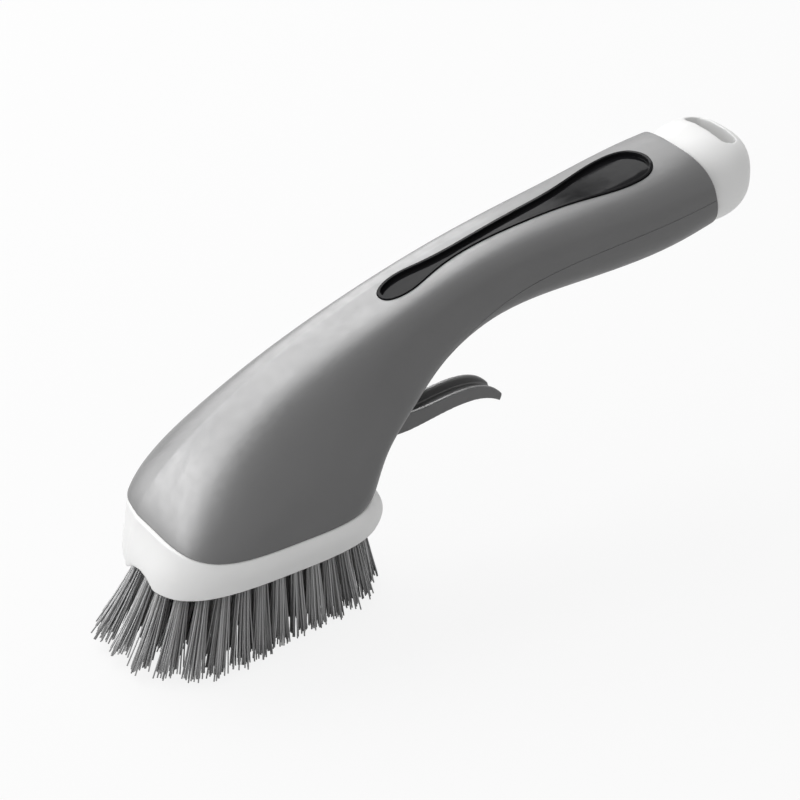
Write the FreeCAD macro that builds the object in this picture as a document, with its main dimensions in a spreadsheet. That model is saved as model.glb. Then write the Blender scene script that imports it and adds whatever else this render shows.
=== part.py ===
"""Dish wand: hollow arched handle, soap valve with squeeze lever, pull-off cap and brush head."""
import FreeCAD
import Part
import Sketcher
import math
import os
import re

os.makedirs("parts", exist_ok=True)
doc = FreeCAD.newDocument("dish_wand")
sheet = doc.addObject("Spreadsheet::Sheet", "sizes")
Vector = FreeCAD.Vector

STATIONS = ["rim", "brow", "crown", "neck", "throat", "waist", "grip", "butt", "tail"]
SECTION_POINTS = 16
DOME_STEPS = [0.30, 0.55, 0.75, 0.90, 0.97]

# Lengths in millimetres, angles in degrees. X runs from the head to the cap, Z up from the bristle tips.
SIZES = [
    # Outer form: ridge point, underside point, half width, widest line, parting line and squareness
    ("rim_top_x", -36.0), ("rim_top_z", 41.0), ("rim_under_x", 28.5), ("rim_under_z", 41.0),
    ("rim_half", 28.8), ("rim_wide", 0.5), ("rim_part", 0.055), ("rim_power", 3.7),
    ("brow_top_x", -29.6), ("brow_top_z", 51.7), ("brow_under_x", 31.6), ("brow_under_z", 46.0),
    ("brow_half", 27.9), ("brow_wide", 0.423), ("brow_part", 0.06), ("brow_power", 3.4),
    ("crown_top_x", -16.8), ("crown_top_z", 64.4), ("crown_under_x", 36.2), ("crown_under_z", 53.2),
    ("crown_half", 24.6), ("crown_wide", 0.361), ("crown_part", 0.07), ("crown_power", 3.0),
    ("neck_top_x", 7.2), ("neck_top_z", 79.4), ("neck_under_x", 46.5), ("neck_under_z", 61.0),
    ("neck_half", 19.6), ("neck_wide", 0.348), ("neck_part", 0.082), ("neck_power", 3.1),
    ("throat_top_x", 39.1), ("throat_top_z", 91.6), ("throat_under_x", 58.5), ("throat_under_z", 69.7),
    ("throat_half", 15.3), ("throat_wide", 0.402), ("throat_part", 0.134), ("throat_power", 4.2),
    ("waist_top_x", 74.4), ("waist_top_z", 101.6), ("waist_under_x", 78.9), ("waist_under_z", 78.1),
    ("waist_half", 13.9), ("waist_wide", 0.482), ("waist_part", 0.336), ("waist_power", 4.0),
    ("grip_top_x", 112.0), ("grip_top_z", 107.0), ("grip_under_x", 112.0), ("grip_under_z", 80.2),
    ("grip_half", 16.4), ("grip_wide", 0.52), ("grip_part", 0.52), ("grip_power", 3.8),
    ("butt_top_x", 143.0), ("butt_top_z", 111.6), ("butt_under_x", 143.8), ("butt_under_z", 83.2),
    ("butt_half", 19.1), ("butt_wide", 0.496), ("butt_part", 0.55), ("butt_power", 3.2),
    ("tail_top_x", 160.0), ("tail_top_z", 114.3), ("tail_under_x", 160.5), ("tail_under_z", 86.4),
    ("tail_half", 18.3), ("tail_wide", 0.445), ("tail_part", 0.512), ("tail_power", 2.7),
    ("head_under_power", 3.4), ("grip_under_power", 2.2),
    ("dome_length", 14.0), ("dome_power", 2.3), ("dome_rise", 2.4),
    # Shells
    ("wall", 2.4), ("parting_gap", 0.12), ("seat_gap", 0.05),
    ("seam_radius", 78.0), ("seam_x", 77.0), ("seam_z", 84.0), ("seam_gap", 0.4),
    # Level window
    ("bulb_x", 46.9), ("bulb_radius", 4.7), ("taper_x", 59.0), ("taper_half", 3.6), ("slim_x", 75.0),
    ("slim_half", 2.6), ("swell_x", 91.0), ("swell_half", 3.6), ("flare_x", 109.0), ("flare_half", 5.7),
    ("spoon_x", 130.6), ("spoon_radius", 9.4), ("window_recess", 0.9),
    ("lens_fit", 0.15), ("rim_rise", 0.4), ("rim_thick", 0.9), ("flange_width", 2.6), ("flange_thick", 1.4),
    ("gasket_thick", 0.8), ("gasket_width", 1.9),
    # Front wall of the soap space and the hose
    ("bulkhead_set", 2.0), ("bulkhead_thick", 3.6), ("seal_thick", 1.2), ("seal_depth", 1.2),
    ("barb_radius", 2.0), ("barb_hole", 1.2), ("spigot_length", 8.0), ("barb_length", 4.0),
    ("hose_radius", 2.9), ("hose_fit", 0.05), ("hose_turn", 8.3), ("hose_sweep", 20.0),
    ("clamp_thick", 0.7), ("clamp_width", 2.4),
    # Valve and its frame
    ("plug_rise", 2.0), ("plate_gap", 0.6), ("plate_thick", 2.4), ("plate_fit", 0.1),
    ("valve_x", 10.5), ("valve_radius", 6.3), ("chamber_radius", 5.0), ("valve_rise", 6.5),
    ("chamber_drop", 10.0), ("floor_thick", 2.0), ("nozzle_radius", 3.0), ("nozzle_length", 3.0),
    ("nozzle_hole", 1.3), ("collar_radius", 7.7), ("collar_thick", 1.0), ("inlet_rise", 4.0),
    ("gland_thick", 1.3), ("gland_sleeve", 1.0), ("run_fit", 0.06), ("stem_radius", 2.5),
    ("stem_rise", 5.7), ("piston_thick", 3.0), ("piston_set", 0.1), ("ring_radius", 0.85),
    ("ring_fit", 0.02), ("spring_radius", 3.6), ("spring_wire", 0.35), ("spring_turns", 5.5),
    ("screw_front_x", -20.0), ("screw_front_y", 14.0), ("screw_rear_x", 12.0), ("screw_rear_y", 18.5),
    ("screw_radius", 1.15), ("screw_head_radius", 2.3), ("screw_head_thick", 1.3), ("screw_length", 8.0),
    ("boss_radius", 3.2), ("boss_skin", 1.2),
    # Squeeze lever
    ("pivot_x", 27.0), ("pivot_z", 56.0), ("pin_radius", 1.5), ("pin_head_radius", 2.5),
    ("pin_head_thick", 1.0), ("hub_radius", 4.5), ("lever_half", 4.5), ("lever_side_gap", 0.3),
    ("ear_thick", 3.0), ("arm_half", 3.0), ("nose_radius", 2.5), ("nose_gap", 0.2), ("slot_gap", 0.4),
    ("lever_wall", 1.6), ("lever_floor", 1.7),
    ("lever_heel_x", 44.6), ("lever_heel_z", 46.2), ("lever_back_x", 48.9), ("lever_back_z", 52.4),
    ("lever_mid_x", 66.9), ("lever_mid_z", 48.5), ("lever_mid_height", 4.8), ("lever_end_x", 79.0),
    ("lever_end_z", 47.4), ("lever_end_height", 4.2), ("lever_tip_x", 84.4), ("lever_tip_z", 45.0),
    ("lever_tip_height", 2.2), ("slot_low_z", 45.9), ("slot_high_z", 59.8),
    # Cap
    ("mouth_z", 98.4), ("mouth_radius", 9.0), ("mouth_x", 144.0), ("plug_fit", 0.08), ("plug_set", 0.4),
    ("cap_ring_x", 145.2), ("cap_ring_radius", 0.9), ("plug_wall", 1.4), ("plug_plate_x", 156.6),
    ("plug_plate_thick", 2.2), ("hang_x", 165.0), ("hang_half", 10.5), ("hang_width", 5.8),
    ("hang_wall", 1.8),
    # Brush head
    ("block_top_gap", 0.1), ("block_proud_front", 0.8), ("block_proud_rear", 1.1), ("block_proud_side", 0.5),
    ("block_waist_z", 36.0), ("block_waist_flare", 1.8), ("block_waist_back", 3.8), ("block_waist_tuck", 1.1),
    ("base_z", 30.0), ("block_base_flare", 4.2), ("block_base_back", 5.8), ("block_base_tuck", 4.3),
    ("block_foot_z", 26.0), ("block_foot_flare", 5.0), ("block_foot_back", 5.0), ("block_foot_tuck", 6.3),
    ("skirt", 2.4), ("thumb_width", 14.0), ("thumb_height", 2.6), ("plug_gap", 0.4),
    ("plug_front_draft", 1.6), ("plug_side_draft", 0.6), ("block_power", 3.2), ("tuft_row_power", 2.6),
    ("grommet_thick", 0.95), ("grommet_low_z", 37.0), ("grommet_height", 3.0),
    ("tuft_root_radius", 1.45), ("tuft_tip_radius", 2.4), ("tuft_hole", 1.6), ("tuft_depth", 4.7),
    ("tuft_hole_depth", 5.9), ("anchor_radius", 0.4), ("anchor_half", 1.35), ("lean_front", 23.0),
    ("lean_rear", 9.0), ("lean_side", 1.5), ("lean_corner", 16.0), ("edge_front", 6.6), ("edge_rear", 6.0),
    ("edge_side", 5.6), ("row_gap_front", 7.0), ("row_gap_rear", 6.2), ("row_gap_side", 5.9),
]
OUTER_COUNT = 30
MIDDLE_COUNT = 22
INNER_COUNT = 9

for row, (name, value) in enumerate(SIZES, start=1):
    sheet.set("A%d" % row, name)
    sheet.set("B%d" % row, str(value))
    sheet.setAlias("B%d" % row, name)
doc.recompute()


def size(name):
    """Value of one named size."""
    return float(sheet.get(name))


def bound(expression):
    """Expression with its size names pointed at the sheet."""
    return re.sub(r"[a-z][a-z_]+", lambda match: "sizes." + match.group(0), expression)


# Heights and fits that several pieces share
PLATE_UNDER = "(rim_under_z + plug_rise + plate_gap)"
PLATE_TOP = "(rim_under_z + plug_rise + plate_gap + plate_thick)"
VALVE_TOP = "(" + PLATE_TOP + " + valve_rise)"
CHAMBER_FLOOR = "(" + PLATE_TOP + " - chamber_drop)"
INLET = "(" + PLATE_TOP + " + inlet_rise)"
PISTON_TOP = "(" + VALVE_TOP + " - gland_sleeve - piston_set)"
STEM_TOP = "(" + VALVE_TOP + " + stem_rise)"
NOSE = "(" + STEM_TOP + " + nose_gap + nose_radius)"
BLOCK_FRONT = "(rim_top_x - block_proud_front)"
BLOCK_REAR = "(rim_under_x + block_proud_rear)"
BLOCK_HALF = "(rim_half + block_proud_side)"
FOOT_FRONT = "(" + BLOCK_FRONT + " - block_foot_flare)"
FOOT_REAR = "(" + BLOCK_REAR + " + block_foot_back)"
FOOT_HALF = "(" + BLOCK_HALF + " - block_foot_tuck)"


def level(expression):
    """Number for an expression of named sizes."""
    return float(sheet.evalExpression(bound(expression)))


# Document object helpers
def solid(label, shape):
    """Free form held as a plain shape."""
    item = doc.addObject("Part::Feature", label)
    item.Shape = shape
    return item


def cylinder(label, radius, height, x, y, z, axis="Z"):
    """Cylinder that starts at a point and runs along +Z, +X or +Y."""
    item = doc.addObject("Part::Cylinder", label)
    turns = {"Z": (Vector(0, 0, 1), 0), "X": (Vector(0, 1, 0), 90), "Y": (Vector(1, 0, 0), -90)}
    item.Placement = FreeCAD.Placement(Vector(0, 0, 0), FreeCAD.Rotation(*turns[axis]))
    item.setExpression("Radius", bound(radius))
    item.setExpression("Height", bound(height))
    item.setExpression("Placement.Base.x", bound(x))
    item.setExpression("Placement.Base.y", bound(y))
    item.setExpression("Placement.Base.z", bound(z))
    return item


def box(label, lengths, corner):
    """Box from its low corner."""
    item = doc.addObject("Part::Box", label)
    for side, expression in zip(("Length", "Width", "Height"), lengths):
        item.setExpression(side, bound(expression))
    for side, expression in zip("xyz", corner):
        item.setExpression("Placement.Base." + side, bound(expression))
    return item


def ring(label, major, minor, x, y, z, axis="Z"):
    """Torus about Z or X."""
    item = doc.addObject("Part::Torus", label)
    turn = 90 if axis == "X" else 0
    item.Placement = FreeCAD.Placement(Vector(0, 0, 0), FreeCAD.Rotation(Vector(0, 1, 0), turn))
    item.setExpression("Radius1", bound(major))
    item.setExpression("Radius2", bound(minor))
    item.setExpression("Placement.Base.x", bound(x))
    item.setExpression("Placement.Base.y", bound(y))
    item.setExpression("Placement.Base.z", bound(z))
    return item


def cut(label, base, *tools):
    """Base less each tool in turn; the last cut carries the label."""
    result = base
    for number, tool in enumerate(tools):
        last = number == len(tools) - 1
        step = doc.addObject("Part::Cut", label if last else label + "_step")
        step.Base = result
        step.Tool = tool
        result = step
    return result


def fuse(label, *items):
    item = doc.addObject("Part::MultiFuse", label)
    item.Shapes = list(items)
    return item


def common(label, *items):
    item = doc.addObject("Part::MultiCommon", label)
    item.Shapes = list(items)
    return item


def profile(label, corners, half):
    """Side profile of X, Z corners, extruded evenly to both sides of the middle plane."""
    sketch = doc.addObject("Sketcher::SketchObject", label + "_sketch")
    sketch.Placement = FreeCAD.Placement(Vector(0, 0, 0), FreeCAD.Rotation(Vector(1, 0, 0), 90))
    points = [Vector(level(x), level(z), 0) for x, z in corners]
    count = len(points)
    for number in range(count):
        sketch.addGeometry(Part.LineSegment(points[number], points[(number + 1) % count]), False)
    for number in range(count):
        sketch.addConstraint(Sketcher.Constraint("Coincident", number, 2, (number + 1) % count, 1))
    for number, (x, z) in enumerate(corners):
        along = sketch.addConstraint(Sketcher.Constraint("DistanceX", -1, 1, number, 1, points[number].x))
        sketch.setExpression("Constraints[%d]" % along, bound(x))
        above = sketch.addConstraint(Sketcher.Constraint("DistanceY", -1, 1, number, 1, points[number].y))
        sketch.setExpression("Constraints[%d]" % above, bound(z))
    item = doc.addObject("Part::Extrusion", label)
    item.Base = sketch
    item.DirMode = "Normal"
    item.Symmetric = True
    item.Solid = True
    item.setExpression("LengthFwd", bound("2 * (" + half + ")"))
    return item


def curved_profile(label, runs, half):
    """Side profile of straight runs and smooth curves, extruded evenly to both sides of the middle plane."""
    edges = []
    for run in runs:
        points = [Vector(level(x), 0, level(z)) for x, z in run]
        if len(points) == 2:
            edges.append(Part.makeLine(*points))
        else:
            curve = Part.BSplineCurve()
            curve.interpolate(Points=points)
            edges.append(curve.toShape())
    face = Part.Face(Part.Wire(edges))
    reach = level(half)
    face.translate(Vector(0, -reach, 0))
    return solid(label, face.extrude(Vector(0, 2 * reach, 0)))


# Outer form of handle, head and cap
def section(top, under, half, wide, top_power, under_power):
    """Closed rounded section between a ridge point and an underside point."""
    span = top.sub(under)
    height = span.Length
    up = span / height
    sides = []
    for hand in (1, -1):
        points = []
        for step in range(SECTION_POINTS + 1):
            angle = hand * (math.pi * step / SECTION_POINTS - math.pi / 2)
            side = abs(math.cos(angle))
            rise = math.sin(angle)
            power = top_power if rise >= 0 else under_power
            reach = (1 - wide) * height if rise >= 0 else wide * height
            along = wide * height + reach * math.copysign(abs(rise) ** (2 / power), rise)
            spot = under + up * along
            across = 0.0 if step in (0, SECTION_POINTS) else hand * half * side ** (2 / power)
            points.append(Vector(spot.x, across, spot.z))
        curve = Part.BSplineCurve()
        curve.interpolate(Points=points, InitialTangent=Vector(0, hand, 0), FinalTangent=Vector(0, -hand, 0))
        sides.append(curve.toShape())
    return Part.Wire(sides)


def station(name):
    """Ridge point, underside point, half width, widest line and powers of one station."""
    share = STATIONS.index(name) / (len(STATIONS) - 1)
    top = Vector(size(name + "_top_x"), 0, size(name + "_top_z"))
    under = Vector(size(name + "_under_x"), 0, size(name + "_under_z"))
    under_power = size("head_under_power") + share * (size("grip_under_power") - size("head_under_power"))
    return [top, under, size(name + "_half"), size(name + "_wide"), size(name + "_power"), under_power]


def moved(values, shift):
    return [values[0] + shift, values[1] + shift] + values[2:]


def inset_section(values, inset):
    top, under, half, wide, top_power, under_power = values
    height = top.sub(under).Length
    up = top.sub(under) / height
    inner = (wide * height - inset) / (height - 2 * inset)
    return section(top - up * inset, under + up * inset, half - inset, inner, top_power, under_power)


def dome_values():
    """Shrinking sections that round off the cap."""
    top, under, half, wide, top_power, under_power = station("tail")
    middle = (top + under) / 2
    reach = (top.z - under.z) / 2
    rows = []
    for step in DOME_STEPS:
        scale = (1 - step ** size("dome_power")) ** (1 / size("dome_power"))
        x = middle.x + step * size("dome_length")
        z = middle.z + step * size("dome_rise")
        rows.append([Vector(x, 0, z + reach * scale), Vector(x, 0, z - reach * scale), half * scale, wide,
                     top_power, under_power])
    return rows, middle + Vector(size("dome_length"), 0, size("dome_rise"))


def cap_form():
    """Outside of the cap end with its closed dome."""
    rows, end = dome_values()
    rows = [station("grip"), station("butt"), station("tail")] + rows
    return Part.makeLoft([inset_section(row, 0) for row in rows] + [Part.Vertex(end)], True, False)


def outer_form(grow):
    """Outside of the handle and head, grown by a small amount and run out past the tail."""
    rows = [station(name) for name in STATIONS] + [moved(station("tail"), Vector(12, 0, 0))]
    return Part.makeLoft([inset_section(row, -grow) for row in rows], True, False)


def seam_space(grow):
    """Space on the handle's side of the curved seam of the cap."""
    low = size("seam_z") - 20
    high = size("seam_z") + 46
    radius = size("seam_radius") + grow

    def seam_spot(z):
        return Vector(size("seam_x") + math.sqrt(radius ** 2 - (z - size("seam_z")) ** 2), 0, z)

    corners = [seam_spot(high), Vector(-100, 0, high), Vector(-100, 0, 0), Vector(seam_spot(low).x, 0, 0),
               seam_spot(low)]
    edges = [Part.Arc(seam_spot(low), seam_spot(size("seam_z") + 10), seam_spot(high)).toShape()]
    edges += [Part.makeLine(start, end) for start, end in zip(corners, corners[1:])]
    face = Part.Face(Part.Wire(edges))
    face.translate(Vector(0, -60, 0))
    return face.extrude(Vector(0, 120, 0))


def inner_form(inset):
    """Inside of the handle at one depth, run out below the rim and past the tail."""
    rows = [moved(station("rim"), Vector(0, 0, -8))]
    rows += [station(name) for name in STATIONS]
    rows += [moved(station("tail"), Vector(12, 0, 0))]
    return Part.makeLoft([inset_section(row, inset) for row in rows], True, False)


def dome_inner(inset):
    """Hollow of the cap."""
    rows = [moved(station("tail"), Vector(-22, 0, 0)), station("tail")] + dome_values()[0][:3]
    return Part.makeLoft([inset_section(row, inset) for row in rows], True, False)


def window_prism(grow):
    """Spoon outline of the level window, grown, as an upright prism through the top wall."""
    points = []
    bulb = Vector(size("bulb_x"), 0, 0)
    spoon = Vector(size("spoon_x"), 0, 0)
    for angle in (180, 140, 100):
        turn = math.radians(angle)
        points.append(bulb + Vector(math.cos(turn), math.sin(turn), 0) * (size("bulb_radius") + grow))
    for name in ("taper", "slim", "swell", "flare"):
        points.append(Vector(size(name + "_x"), size(name + "_half") + grow, 0))
    for angle in (96, 60, 30, 0):
        turn = math.radians(angle)
        points.append(spoon + Vector(math.cos(turn), math.sin(turn), 0) * (size("spoon_radius") + grow))
    points += [Vector(spot.x, -spot.y, 0) for spot in reversed(points[1:-1])]
    curve = Part.BSplineCurve()
    curve.interpolate(Points=points, PeriodicFlag=True)
    face = Part.Face(Part.Wire(curve.toShape()))
    low = size("throat_top_z") - 5.5
    face.translate(Vector(0, 0, low))
    return face.extrude(Vector(0, 0, 40))


def lower_region():
    """Space below and behind the parting line."""
    spots = []
    for name in STATIONS:
        top, under = station(name)[:2]
        spots.append(under + (top - under) * size(name + "_part"))
    first = spots[0]
    spots[0:0] = [first + Vector(-2, 0, -10)]
    spots.append(spots[-1] + Vector(16, 0, 0.2))
    curve = Part.BSplineCurve()
    curve.interpolate(Points=spots)
    last = spots[-1]
    corners = [last, Vector(last.x, 0, 10), Vector(spots[0].x, 0, 10), spots[0]]
    edges = [curve.toShape()]
    edges += [Part.makeLine(start, end) for start, end in zip(corners, corners[1:])]
    face = Part.Face(Part.Wire(edges))
    face.translate(Vector(0, -50, 0))
    return face.extrude(Vector(0, 100, 0))


outside = solid("outside", outer_form(0))
seam_inside = solid("seam_inside", seam_space(0))
seam_outside = solid("seam_outside", seam_space(size("seam_gap")))
handle_outer = common("handle_outer", outside, seam_inside)
cap_outer = cut("cap_outer", solid("cap_end", cap_form()), seam_outside)
hollow = solid("hollow", inner_form(size("wall")))
shell = cut("shell", handle_outer, hollow)
below_parting = solid("below_parting", lower_region())
below_gap = solid("below_gap", lower_region())
below_gap.Placement.Base = Vector(size("parting_gap"), 0, -size("parting_gap"))

# Frame bosses in the roof of the head
BOSSES = [("screw_front_x", "screw_front_y"), ("screw_front_x", "-screw_front_y"),
          ("screw_rear_x", "screw_rear_y"), ("screw_rear_x", "-screw_rear_y")]
skin = solid("skin", inner_form(size("boss_skin")))
posts = [cylinder("post", "boss_radius", "60", x, y, PLATE_TOP) for x, y in BOSSES]
bosses = common("bosses", fuse("post_group", *posts), skin)
core_length = "(screw_length + seat_gap)"
cores = fuse("core_group", *[cylinder("core", "screw_radius + seat_gap", core_length, x, y, PLATE_TOP)
                             for x, y in BOSSES])

# Level window in the top of the handle
opening = solid("opening", window_prism(0))
upper_body = cut("upper_body", shell, below_parting)
upper_shell = cut("upper_shell", fuse("upper_raw", upper_body, bosses), opening, cores)

lens_top = solid("lens_top", inner_form(size("window_recess")))
flange_top = solid("flange_top", inner_form(size("wall") + size("gasket_thick")))
flange_low = solid("flange_low", inner_form(size("wall") + size("gasket_thick") + size("flange_thick")))
lens_prism = solid("lens_prism", window_prism(-size("lens_fit")))
flange_prism = solid("flange_prism", window_prism(size("flange_width")))
gasket_hole = solid("gasket_hole", window_prism(size("flange_width") - size("gasket_width")))
lens_plug = common("lens_plug", cut("lens_skin", lens_top, flange_low, below_parting), lens_prism)
lens_flange = common("lens_flange", cut("flange_skin", flange_top, flange_low, below_parting), flange_prism)
rim_top = solid("rim_top", outer_form(size("rim_rise")))
rim_hole = solid("rim_hole", window_prism(-size("lens_fit") - size("rim_thick")))
rim_skin = cut("rim_skin", rim_top, flange_low, below_parting, rim_hole)
window_lens = fuse("window_lens", lens_plug, lens_flange, common("lens_rim", rim_skin, lens_prism))
gasket_skin = cut("gasket_skin", hollow, flange_top, below_parting)
window_gasket = cut("window_gasket", common("gasket_raw", gasket_skin, flange_prism), gasket_hole)

# Strip under the handle with the lever's slot
slot = box("slot", ("60", "2 * (lever_half + slot_gap)", "slot_high_z - slot_low_z"),
           ("pivot_x - 4", "-lever_half - slot_gap", "slot_low_z"))
lower_shell = cut("lower_shell", common("lower_raw", shell, below_gap), slot)

# Front wall of the soap space, square to the neck
throat_top, throat_under = station("throat")[:2]
neck_middle = (throat_top + throat_under) / 2
rising = (throat_top - throat_under).normalize()
neck_way = Vector(-rising.z, 0, rising.x)


def neck_slab(label, start, thick):
    """Slab across the neck, from a distance along it."""
    item = doc.addObject("Part::Box", label)
    item.Length = 80
    item.Width = 80
    item.Height = thick
    turn = FreeCAD.Rotation(Vector(0, 1, 0), rising * -1, neck_way, "ZYX")
    spot = neck_middle + neck_way * start
    item.Placement = FreeCAD.Placement(spot - turn.multVec(Vector(40, 40, 0)), turn)
    return item


def neck_rod(label, radius, start, length):
    """Cylinder along the neck from its middle line."""
    item = doc.addObject("Part::Cylinder", label)
    item.setExpression("Radius", bound(radius))
    item.Height = length
    turn = FreeCAD.Rotation(Vector(0, 0, 1), neck_way)
    item.Placement = FreeCAD.Placement(neck_middle + neck_way * start, turn)
    return item


bulkhead_start = size("bulkhead_set")
bulkhead_end = bulkhead_start + size("bulkhead_thick")
seal_start = bulkhead_start + (size("bulkhead_thick") - size("seal_thick")) / 2
bulkhead_edge = solid("bulkhead_edge", inner_form(size("wall") + size("seat_gap")))
seal_foot = solid("seal_foot", inner_form(size("wall") + size("seat_gap") + size("seal_depth")))
bulkhead_disc = common("bulkhead_disc", bulkhead_edge,
                       neck_slab("bulkhead_slab", bulkhead_start, size("bulkhead_thick")))
seal_slab = neck_slab("seal_slab", seal_start, size("seal_thick"))
bulkhead_seal = cut("bulkhead_seal", common("seal_disc", bulkhead_edge, seal_slab), seal_foot)
seal_groove = cut("seal_groove", seal_slab, seal_foot)
spigot = neck_rod("spigot", "barb_radius", bulkhead_end - 0.5, size("spigot_length") + 0.5)
spigot_hole = neck_rod("spigot_hole", "barb_hole", bulkhead_start - 1, size("spigot_length") + 8)
bulkhead_raw = fuse("bulkhead_raw", cut("bulkhead_ring", bulkhead_disc, seal_groove), spigot)
bulkhead = cut("bulkhead", bulkhead_raw, spigot_hole)

# Hose from the spigot over the lever arm and back into the valve
inlet_z = level(INLET)
hose_top = inlet_z + 2 * size("hose_turn")
hose_start = neck_middle + neck_way * (bulkhead_end + size("seat_gap"))
corner = neck_middle + neck_way * ((hose_top - neck_middle.z) / neck_way.z)
bend = math.acos(-neck_way.x)
tangent = size("hose_sweep") * math.tan(bend / 2)
arc_start = corner - neck_way * tangent
arc_end = corner + Vector(-tangent, 0, 0)
arc_centre = arc_end + Vector(0, 0, size("hose_sweep"))
arc_middle = arc_centre + (corner - arc_centre).normalize() * size("hose_sweep")
barb_end = size("valve_x") - size("valve_radius")
turn_x = barb_end - size("barb_length") - 1.2
turn_start = Vector(turn_x, 0, hose_top)
turn_middle = Vector(turn_x - size("hose_turn"), 0, hose_top - size("hose_turn"))
turn_end = Vector(turn_x, 0, inlet_z)
hose_end = Vector(barb_end - 0.3, 0, inlet_z)


def hose_solid(radius):
    route = Part.Wire([Part.makeLine(hose_start, arc_start),
                       Part.Arc(arc_start, arc_middle, arc_end).toShape(),
                       Part.makeLine(arc_end, turn_start),
                       Part.Arc(turn_start, turn_middle, turn_end).toShape(),
                       Part.makeLine(turn_end, hose_end)])
    mouth = Part.Wire(Part.makeCircle(radius, hose_start, neck_way))
    return route.makePipeShell([mouth], True, False)


hose_bore = size("barb_radius") + size("hose_fit")
outlet_hose = cut("outlet_hose", solid("hose_outer", hose_solid(size("hose_radius"))),
                  solid("hose_inner", hose_solid(hose_bore)))
clamp_start = bulkhead_end + 2.0
clamp_neck = cut("clamp_neck", neck_rod("clamp_neck_band", "hose_radius + clamp_thick", clamp_start,
                                        size("clamp_width")),
                 neck_rod("clamp_neck_hole", "hose_radius", clamp_start - 1, size("clamp_width") + 2))
clamp_x = "valve_x - valve_radius - barb_length + seat_gap"
clamp_valve = cut("clamp_valve", cylinder("clamp_valve_band", "hose_radius + clamp_thick", "clamp_width",
                                          clamp_x, "0", INLET, "X"),
                  cylinder("clamp_valve_hole", "hose_radius", "clamp_width + 2", clamp_x + " - 1", "0",
                           INLET, "X"))
hose_clamps = fuse("hose_clamps", clamp_neck, clamp_valve)

# Frame plate with the lever's ears
plate_edge = solid("plate_edge", inner_form(size("wall") + size("plate_fit")))
plate = common("plate", plate_edge, box("plate_slab", ("200", "200", "plate_thick"),
                                        ("-100", "-100", PLATE_UNDER)))
ear_half = "(lever_half + lever_side_gap + ear_thick)"
ear_corners = [("pivot_x - hub_radius - 2", PLATE_TOP + " - 0.5"), ("pivot_x + 1.6", PLATE_TOP + " - 0.5"),
               ("pivot_x + hub_radius - 0.5", "pivot_z - 2.5"), ("pivot_x + hub_radius - 0.5", "pivot_z + 2"),
               ("pivot_x + 2", "pivot_z + hub_radius - 0.2"), ("pivot_x - 2", "pivot_z + hub_radius - 0.2"),
               ("pivot_x - hub_radius", "pivot_z + 1.5")]
ears = profile("ears", ear_corners, ear_half)
ear_space = box("ear_space", ("40", "2 * (lever_half + lever_side_gap)", "40"),
                ("pivot_x - 20", "-lever_half - lever_side_gap", PLATE_TOP))
pin_hole = cylinder("pin_hole", "pin_radius", "60", "pivot_x", "-30", "pivot_z", "Y")
valve_hole = cylinder("valve_hole", "valve_radius + seat_gap", "20", "valve_x", "0", PLATE_UNDER + " - 2")
screw_holes = fuse("screw_holes", *[cylinder("screw_hole", "screw_radius + 2 * seat_gap", "20", x, y,
                                             PLATE_UNDER + " - 2") for x, y in BOSSES])
screw_seats = fuse("screw_seats", *[cylinder("screw_seat", "screw_head_radius + 2 * seat_gap",
                                             "screw_head_thick + 2", x, y, PLATE_UNDER + " - 2")
                                    for x, y in BOSSES])
frame_raw = fuse("frame_raw", plate, cut("ear_pair", ears, ear_space))
valve_frame = cut("valve_frame", frame_raw, pin_hole, valve_hole, screw_holes, screw_seats)
screws = []
for x, y in BOSSES:
    screws.append(fuse("screw", cylinder("screw_head", "screw_head_radius", "screw_head_thick", x, y,
                                         PLATE_UNDER),
                       cylinder("screw_shank", "screw_radius", "plate_thick + screw_length - 0.5", x, y,
                                PLATE_UNDER)))
frame_screws = fuse("frame_screws", *screws)
pivot_pin = fuse("pivot_pin", cylinder("pin_shank", "pin_radius", "2 * " + ear_half, "pivot_x",
                                       "-" + ear_half, "pivot_z", "Y"),
                 cylinder("pin_head", "pin_head_radius", "pin_head_thick", "pivot_x", ear_half, "pivot_z",
                          "Y"))

# Dosing valve
VALVE_FOOT = "(" + CHAMBER_FLOOR + " - floor_thick)"
valve_raw = fuse("valve_raw",
                 cylinder("valve_wall", "valve_radius", "valve_rise + chamber_drop + floor_thick", "valve_x",
                          "0", VALVE_FOOT),
                 cylinder("valve_collar", "collar_radius", "collar_thick", "valve_x", "0", PLATE_TOP),
                 cylinder("valve_nozzle", "nozzle_radius", "nozzle_length + 0.5", "valve_x", "0",
                          VALVE_FOOT + " - nozzle_length"),
                 cylinder("valve_barb", "barb_radius", "barb_length + 0.6",
                          "valve_x - valve_radius - barb_length", "0", INLET, "X"))
valve_body = cut("valve_body", valve_raw,
                 cylinder("chamber", "chamber_radius", "60", "valve_x", "0", CHAMBER_FLOOR),
                 cylinder("nozzle_bore", "nozzle_hole", "20", "valve_x", "0",
                          VALVE_FOOT + " - nozzle_length - 1"),
                 cylinder("barb_bore", "barb_hole", "barb_length + valve_radius",
                          "valve_x - valve_radius - barb_length - 1", "0", INLET, "X"))
gland_raw = fuse("gland_raw", cylinder("gland_cap", "valve_radius", "gland_thick", "valve_x", "0", VALVE_TOP),
                 cylinder("gland_neck", "chamber_radius - seat_gap", "gland_sleeve + 0.2", "valve_x", "0",
                          VALVE_TOP + " - gland_sleeve"))
valve_gland = cut("valve_gland", gland_raw, cylinder("gland_hole", "stem_radius + run_fit", "20", "valve_x",
                                                     "0", VALVE_TOP + " - 10"))
PISTON_FOOT = "(" + PISTON_TOP + " - piston_thick)"
groove_radius = "(chamber_radius - ring_fit - 2 * ring_radius - ring_fit)"
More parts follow.
